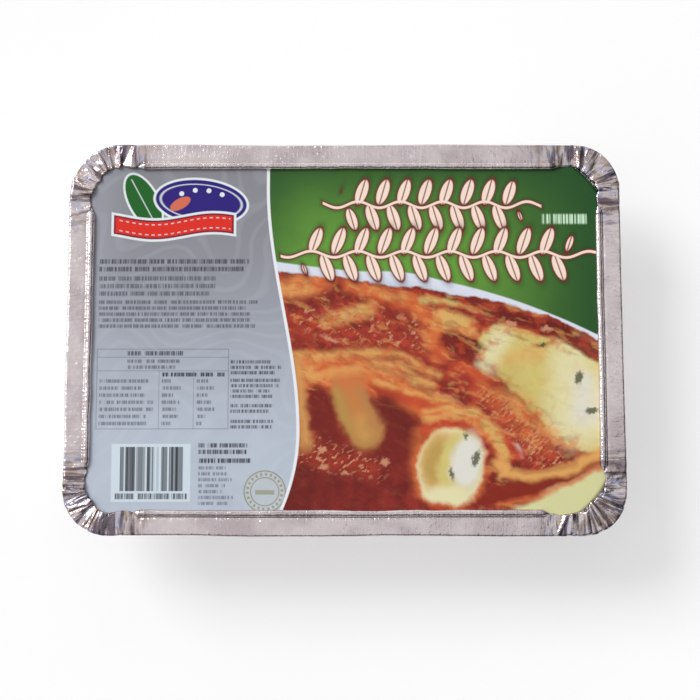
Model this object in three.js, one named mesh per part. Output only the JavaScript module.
// A shut ready-meal pack: a filled aluminium foil tray with a printed card lid.
// The tray's walls taper down to a flat base. At the top they turn out into a ledge, which carries
// the lid. The foil past the ledge stands up, folds in over the lid's edge as a flat band, and ends
// in a rolled hem that presses on the card. At the four corners the spare foil gathers in pleats,
// and the hem is crushed into them.
// The pack is shut, so the tray is one solid with its contents. The lid lies loose in the slot
// between the ledge and the band. +X is the long side, +Z is up, and the origin is the centre of
// the base. All sizes are in millimetres.
import * as THREE from "three";

// ---- Driving sizes ----
const LENGTH = 225;
const WIDTH = 160;
const HEIGHT = 38;
const FOIL = 0.5; // two layers of foil with the air between them
const CLEARANCE = 0.3; // between the lid and the foil round it
const LID_THICKNESS = 0.7;
// The card's corners are cut well back, so that the foil can pleat: back right, anticlockwise.
const LID_CORNERS = [38, 32, 32, 38];
const LID_SHIFT = 0.6; // the card lies against the left side of its slot
const LID_INSET = 2.6; // from the rim's outer edge to the card's edge, before the shift
const RIM_CORNERS = [19, 22, 19, 18]; // outer corner radii, from back right, anticlockwise
const BAND_WIDTH = 7.9; // the flat part of the fold
const HEM_WIDTH = 2.8; // the rolled edge inside it
const HEM_RISE = 1.1; // how far the roll stands above the band
const HEM_AT_CORNER = 0.25; // the share of the roll that is left where the pleats crush it
const LEDGE_WIDTH = 8.6; // from the rim's outer edge to the top of the wall
const WALL_CORNER_TOP = 25;
const WALL_CORNER_BASE = 21;
const WALL_TAPER = 9.2; // how much further in the wall is at the base
const BASE_ROUND = 2.4;
const SHOULDER_DROP = 6.5; // below the ledge, where the wall steps in
const SHOULDER_STEP = 1.2;
const PLEAT_HEIGHT = 0.8;
const PLEAT_SWAY = 0.35; // how far a pleat pushes the rim's edges in and out
const FLUTE_DEPTH = 0.7; // of the wall's upright wrinkles

// ---- Number of steps ----
const CORNER_STEPS = 18;
const LONG_SIDE_STEPS = 12;
const SHORT_SIDE_STEPS = 8;
const BASE_STEPS = 3;
const HEM_STEPS = 6;

// ---- Heights that follow ----
const bandTop = HEIGHT - HEM_RISE;
const bandUnder = bandTop - FOIL;
const lidTop = bandUnder - CLEARANCE;
const lidUnder = lidTop - LID_THICKNESS;
const ledgeTop = lidUnder - CLEARANCE;
const ledgeUnder = ledgeTop - FOIL;
const slotInset = LID_INSET - LID_SHIFT - CLEARANCE; // where the slot's outer wall stands

// A repeatable unevenness from -1 to 1 for the pleat or wrinkle with this number.
const uneven = (number) => Math.sin(12.9898 * number + 4.1414);

// The places round the pack that every ring passes through, anticlockwise from +X. A corner place
// has its angle. A side place says how far it is from one corner to the next.
function placesRound() {
  const places = [];
  for (let corner = 0; corner < 4; corner++) {
    for (let step = 0; step <= CORNER_STEPS; step++) {
      const turn = step / CORNER_STEPS;
      places.push({ corner, turn, along: 0, fold: Math.sin(Math.PI * turn), step });
    }
    const sideSteps = corner % 2 === 0 ? LONG_SIDE_STEPS : SHORT_SIDE_STEPS;
    for (let step = 1; step < sideSteps; step++) {
      places.push({ corner, turn: 1, along: step / sideSteps, fold: 0, step });
    }
  }
  return places;
}

const places = placesRound();

// The point at this angle of a corner's arc, on the ring that lies this far in from the rim's edge.
function cornerPoint(corner, turn, inset, radius) {
  const middle = (corner + 0.5) * (Math.PI / 2);
  const centreX = Math.sign(Math.cos(middle)) * (LENGTH / 2 - inset - radius);
  const centreY = Math.sign(Math.sin(middle)) * (WIDTH / 2 - inset - radius);
  const angle = (corner + turn) * (Math.PI / 2);
  return new THREE.Vector2(centreX + radius * Math.cos(angle), centreY + radius * Math.sin(angle));
}

// A ring's point at one place. radiusOf gives the ring's corner radius for each corner.
function ringPoint(place, inset, radiusOf) {
  const from = cornerPoint(place.corner, place.turn, inset, radiusOf(place.corner));
  if (place.along === 0) return from;
  const next = (place.corner + 1) % 4;
  const to = cornerPoint(next, 0, inset, radiusOf(next));
  return from.lerp(to, place.along);
}

// The rim's rings are offsets of its outer edge, and the wall's rings have corners of their own.
const rimRadius = (inset) => (corner) => RIM_CORNERS[corner] - inset;
const wallRadius = (radius) => () => radius;

// Pleats stand up from the band in the corners, every second place, each a little different.
const pleatAt = (place) => {
  const stands = place.step % 2 === 1 ? 1 : 0.15;
  return place.fold * stands * (0.8 + 0.2 * uneven(place.step + 7 * place.corner));
};

// The wall's wrinkles are deep in the corners and shallow along the sides.
const fluteAt = (place) => {
  const strength = place.along === 0 ? 0.35 + 0.65 * place.fold : 0.35;
  return (place.step % 2 === 1 ? 1 : 0) * strength;
};

// How much of the hem's roll is left at a place.
const hemAt = (place) => THREE.MathUtils.lerp(1, HEM_AT_CORNER, Math.sqrt(place.fold));

// One ring of the tray as a list of points. shape(place) gives the ring's inset and height there.
function ring(shape, radiusFor) {
  return places.map((place) => {
    const { inset, z } = shape(place);
    const point = ringPoint(place, inset, radiusFor(inset));
    return new THREE.Vector3(point.x, point.y, z);
  });
}

const rimRing = (shape) => ring(shape, rimRadius);
const wallRing = (radius, shape) => ring(shape, () => wallRadius(radius));

// The wall from the base's round edge up to the ledge, outside.
function wallRings() {
  const baseInset = LEDGE_WIDTH + WALL_TAPER;
  const shoulderZ = ledgeUnder - SHOULDER_DROP;
  const rings = [];
  for (let step = 0; step <= BASE_STEPS; step++) {
    const angle = ((step / BASE_STEPS) * Math.PI) / 2;
    const inset = baseInset + BASE_ROUND * (1 - Math.sin(angle));
    const z = BASE_ROUND * (1 - Math.cos(angle));
    rings.push(wallRing(WALL_CORNER_BASE, () => ({ inset, z })));
  }
  for (const rise of [0.3, 0.65]) {
    const radius = THREE.MathUtils.lerp(WALL_CORNER_BASE, WALL_CORNER_TOP, rise);
    const inset = baseInset - (WALL_TAPER - SHOULDER_STEP) * rise;
    const z = THREE.MathUtils.lerp(BASE_ROUND, shoulderZ, rise);
    rings.push(wallRing(radius, (place) => ({ inset: inset + FLUTE_DEPTH * fluteAt(place), z })));
  }
  const under = { inset: LEDGE_WIDTH + SHOULDER_STEP, z: shoulderZ };
  const over = { inset: LEDGE_WIDTH, z: shoulderZ + SHOULDER_STEP };
  const top = { inset: LEDGE_WIDTH - FOIL, z: ledgeUnder };
  for (const edge of [under, over, top]) {
    rings.push(wallRing(WALL_CORNER_TOP, () => edge));
  }
  return rings;
}

// The ledge's underside, the upright fold and the band, outside.
function foldRings() {
  const edge = (place) => PLEAT_SWAY * pleatAt(place);
  return [
    rimRing((place) => ({ inset: 1 + edge(place), z: ledgeUnder })),
    rimRing((place) => ({ inset: 0.2 + edge(place), z: ledgeTop })),
    rimRing((place) => ({ inset: edge(place), z: lidTop })),
    rimRing((place) => ({ inset: 0.3 + edge(place), z: bandUnder })),
    rimRing((place) => ({ inset: 1.3, z: bandTop + 0.4 * PLEAT_HEIGHT * pleatAt(place) })),
    rimRing((place) => ({ inset: BAND_WIDTH / 2, z: bandTop + PLEAT_HEIGHT * pleatAt(place) })),
    rimRing((place) => ({
      inset: BAND_WIDTH - PLEAT_SWAY * pleatAt(place),
      z: bandTop - 0.15 + PLEAT_HEIGHT * pleatAt(place),
    })),
  ];
}

// The hem: an arc from the groove beside the band, over the top and round to its underside.
function hemRings() {
  const rings = [];
  for (let step = 1; step <= HEM_STEPS; step++) {
    const angle = Math.PI * (1 - (1.3 * step) / HEM_STEPS);
    rings.push(
      rimRing((place) => {
        const roll = hemAt(place);
        const halfWidth = (HEM_WIDTH / 2) * roll;
        const rise = (bandTop + HEM_RISE * roll - bandUnder) / 2;
        return {
          inset: BAND_WIDTH + halfWidth * (1 + Math.cos(angle)) - PLEAT_SWAY * pleatAt(place),
          z: bandUnder + rise * (1 + Math.sin(angle)) + 0.6 * PLEAT_HEIGHT * pleatAt(place),
        };
      }),
    );
  }
  return rings;
}

// The slot that holds the lid: under the hem and band, down its outer wall and onto the ledge.
function slotRings() {
  return [
    rimRing(() => ({ inset: BAND_WIDTH - 0.5, z: bandUnder })),
    rimRing(() => ({ inset: slotInset, z: bandUnder })),
    rimRing(() => ({ inset: slotInset, z: ledgeTop })),
  ];
}

// A closed solid through the rings, with its first and last ring closed to their centres.
function loft(rings) {
  const count = places.length;
  const points = rings.flat();
  const faces = [];
  for (let level = 0; level + 1 < rings.length; level++) {
    for (let i = 0; i < count; i++) {
      const here = level * count + i;
      const beside = level * count + ((i + 1) % count);
      faces.push(here, beside, here + count, beside, beside + count, here + count);
    }
  }
  const last = (rings.length - 1) * count;
  const bottom = points.push(new THREE.Vector3(0, 0, rings[0][0].z)) - 1;
  const top = points.push(new THREE.Vector3(0, 0, points[last].z)) - 1;
  for (let i = 0; i < count; i++) {
    const next = (i + 1) % count;
    faces.push(bottom, next, i, top, last + i, last + next);
  }
  const geometry = new THREE.BufferGeometry().setFromPoints(points);
  geometry.setIndex(faces);
  geometry.computeVertexNormals();
  return geometry;
}

function foilTray() {
  const rings = [...wallRings(), ...foldRings(), ...hemRings(), ...slotRings()];
  const aluminium = new THREE.MeshStandardMaterial({
    color: 0xc4bfc0,
    roughness: 0.3,
    metalness: 1,
  });
  const tray = new THREE.Mesh(loft(rings), aluminium);
  tray.name = "foil_tray";
  return tray;
}

// The lid: a flat card with round corners, lying in the slot.
function cardLid() {
  const halfLength = LENGTH / 2 - LID_INSET;
  const halfWidth = WIDTH / 2 - LID_INSET;
  const outline = new THREE.Shape();
  for (const [corner, radius] of LID_CORNERS.entries()) {
    const middle = (corner + 0.5) * (Math.PI / 2);
    const centreX = Math.sign(Math.cos(middle)) * (halfLength - radius);
    const centreY = Math.sign(Math.sin(middle)) * (halfWidth - radius);
    const start = (corner * Math.PI) / 2;
    outline.absarc(centreX, centreY, radius, start, start + Math.PI / 2, false);
  }
  const geometry = new THREE.ExtrudeGeometry(outline, {
    depth: LID_THICKNESS,
    bevelEnabled: false,
    curveSegments: 14,
  });
  const card = new THREE.MeshStandardMaterial({ color: 0x9fa4ab, roughness: 0.35, metalness: 0 });
  const lid = new THREE.Mesh(geometry, card);
  lid.name = "card_lid";
  lid.position.set(-LID_SHIFT, 0, lidUnder);
  return lid;
}

const pack = new THREE.Group();
pack.name = "ready_meal_pack";
pack.add(foilTray(), cardLid());

export default pack;
